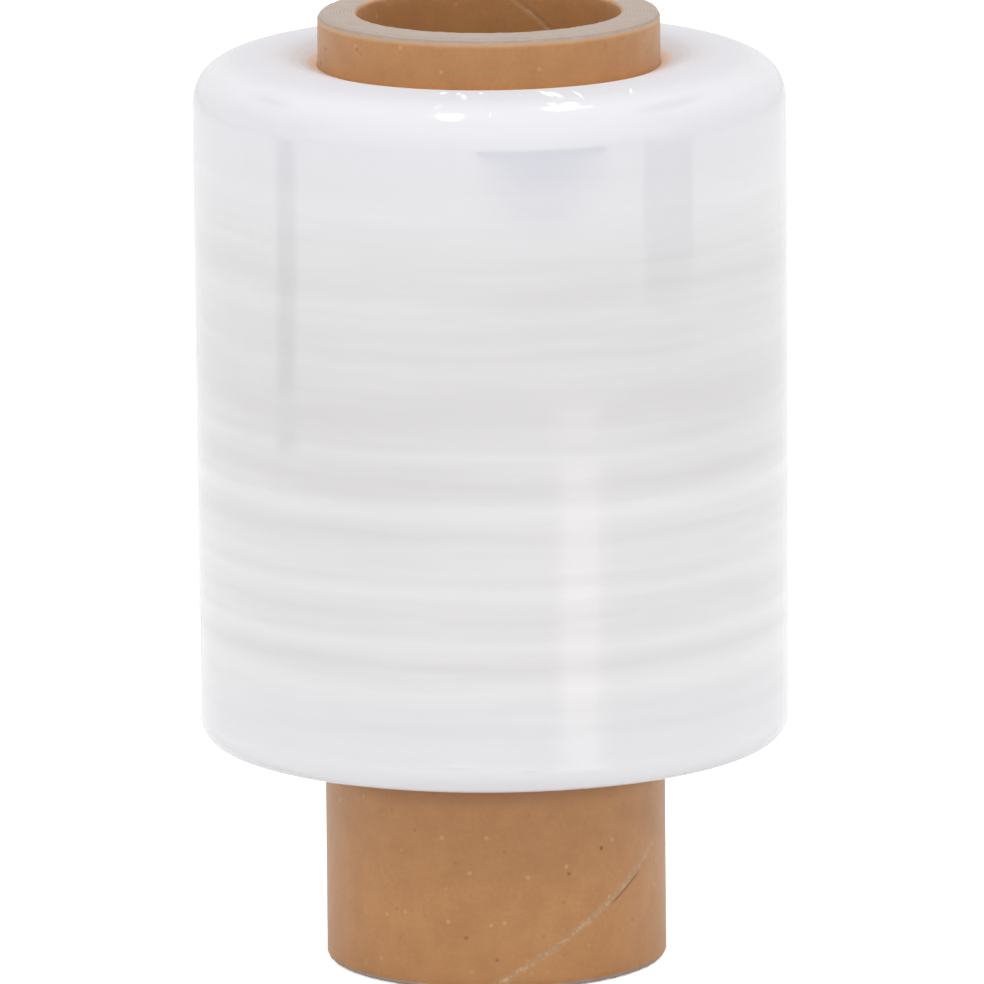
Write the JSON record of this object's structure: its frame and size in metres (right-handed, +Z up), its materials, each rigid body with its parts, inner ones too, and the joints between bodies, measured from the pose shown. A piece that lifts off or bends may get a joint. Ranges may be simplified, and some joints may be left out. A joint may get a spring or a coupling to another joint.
{
  "type": "stretch wrap roll",
  "caption": "Narrow hand roll of clear stretch film wound on a spiral-wound kraft paper tube, whose longer bare end is the hand grip and whose bore takes a dispenser handle.",
  "frame": {"origin": "centre of the tube's lower cut end, on which the roll stands", "axes": "+Z up the roll's axis from the long bare grip end to the short end; -Y is the side that the picture shows"},
  "size_m": [0.0864, 0.0864, 0.1395],
  "materials": {
    "kraft_board": "smooth brown kraft board, spiral wound, with one visible ply seam",
    "stretch_film": "glossy clear film, milky white where many turns lie on each other"
  },
  "bodies": {
    "root": {"core": "kraft_board", "film": "stretch_film"}
  },
  "joints": []
}
